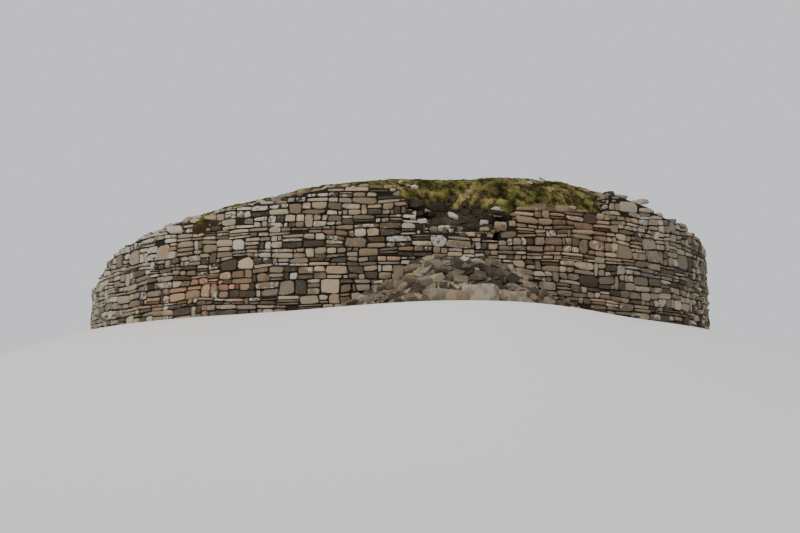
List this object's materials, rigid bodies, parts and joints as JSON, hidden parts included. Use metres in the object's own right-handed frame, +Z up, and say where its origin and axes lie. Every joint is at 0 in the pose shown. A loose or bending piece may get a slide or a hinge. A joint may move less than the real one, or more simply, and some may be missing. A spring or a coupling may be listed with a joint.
{
  "type": "broch",
  "caption": "Ruined round drystone tower with a hollow wall, entrance passage, guard cell, gallery and turf on its broken wallhead.",
  "frame": {"origin": "centre of the round court, at the level where the wall meets the ground", "axes": "+Z up; -Y towards the doorway, +X to the right of someone who faces the doorway from outside; bearings run from the doorway, anticlockwise from above"},
  "size_m": [18.6588, 18.6466, 4.0626],
  "materials": {
    "facing_stone": "matte",
    "hearting_rubble": "matte",
    "slab_stone": "matte",
    "fallen_stone": "matte",
    "turf": "matte"
  },
  "bodies": {
    "root": {"breach_rubble": "hearting_rubble", "door_checks": "slab_stone", "door_sill": "slab_stone", "entrance_pier": "facing_stone", "fallen_blocks": "fallen_stone", "gallery_doorway_head": "facing_stone", "gallery_doorway_lintels": "slab_stone", "gallery_slabs": "slab_stone", "guard_cell_back_wall": "facing_stone", "guard_cell_capstone": "slab_stone", "guard_cell_front_wall": "facing_stone", "guard_cell_lintel": "slab_stone", "guard_cell_vault": "facing_stone", "hearting_01": "hearting_rubble", "hearting_02": "hearting_rubble", "hearting_03": "hearting_rubble", "hearting_04": "hearting_rubble", "hearting_05": "hearting_rubble", "hearting_06": "hearting_rubble", "inner_wall_01": "facing_stone", "inner_wall_02": "facing_stone", "inner_wall_03": "facing_stone", "inner_wall_04": "facing_stone", "inner_wall_05": "facing_stone", "inner_wall_06": "facing_stone", "inner_wall_07": "facing_stone", "outer_wall_01": "facing_stone", "outer_wall_02": "facing_stone", "outer_wall_03": "facing_stone", "outer_wall_04": "facing_stone", "outer_wall_05": "facing_stone", "outer_wall_06": "facing_stone", "outer_wall_07": "facing_stone", "outer_wall_08": "facing_stone", "outer_wall_09": "facing_stone", "outer_wall_10": "facing_stone", "outer_wall_11": "facing_stone", "outer_wall_12": "facing_stone", "outer_wall_stub": "facing_stone", "passage_head_courses": "facing_stone", "passage_lintels": "slab_stone", "tumble_heap": "fallen_stone", "turf_cap_east": "turf", "turf_cap_mound": "turf", "turf_cap_west": "turf"}
  },
  "joints": []
}
